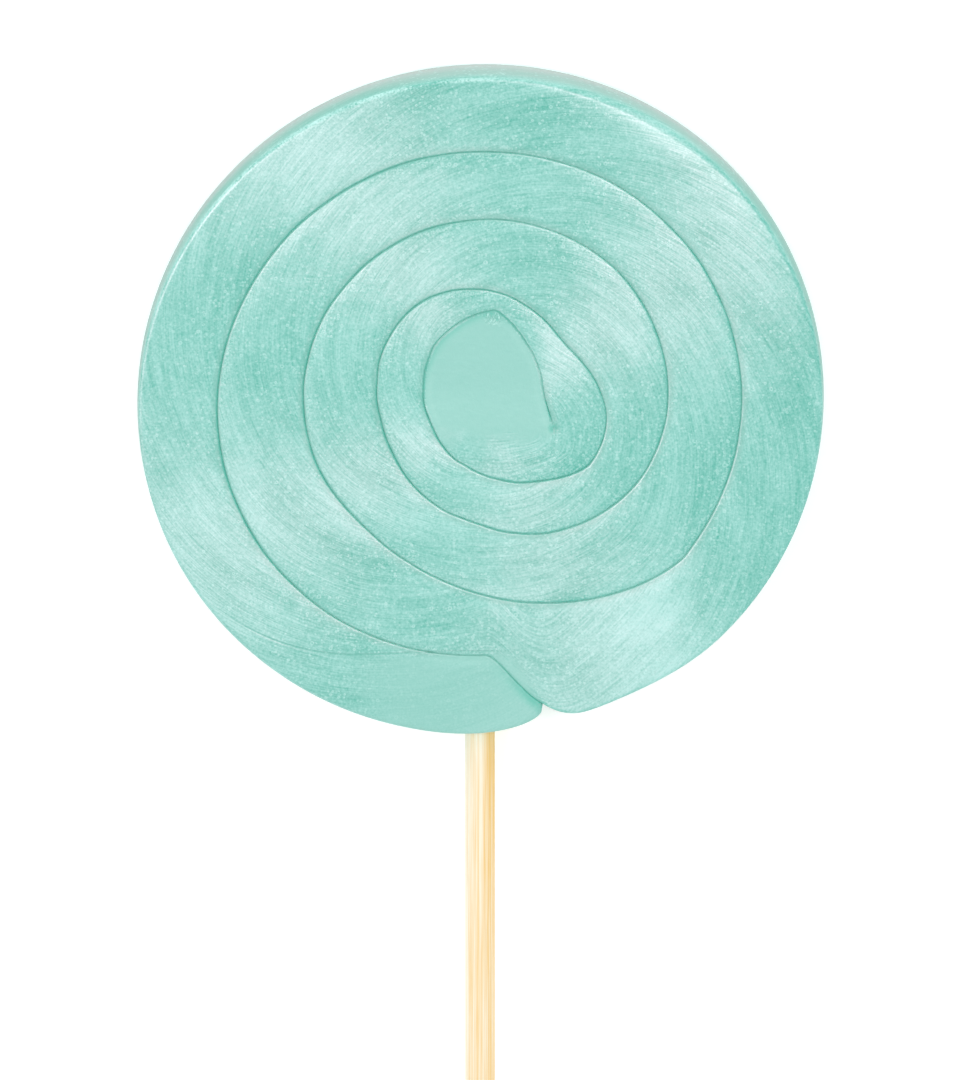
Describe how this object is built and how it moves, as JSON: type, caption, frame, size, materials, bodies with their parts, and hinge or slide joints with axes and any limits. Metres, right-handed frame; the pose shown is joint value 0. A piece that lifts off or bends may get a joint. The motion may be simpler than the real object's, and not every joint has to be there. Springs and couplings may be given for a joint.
{
  "type": "spiral lollipop",
  "caption": "Flat round lollipop: a rope of pulled mint-green hard candy coiled inward and pressed into a thick disc, on a straight round wooden stick.",
  "frame": {"origin": "on the flat back face, under the middle of the candy disc", "axes": "+Z out of the seamed front face, -Y along the stick from the disc to its foot, +X to the right as seen from the front with the stick pointing down"},
  "size_m": [0.1151, 0.2439, 0.011],
  "materials": {
    "candy": null,
    "stick_wood": "bare sanded wood, pale cream with fine straight yellow grain"
  },
  "bodies": {
    "root": {"candy_coil": "candy", "wooden_stick": "stick_wood"}
  },
  "joints": []
}
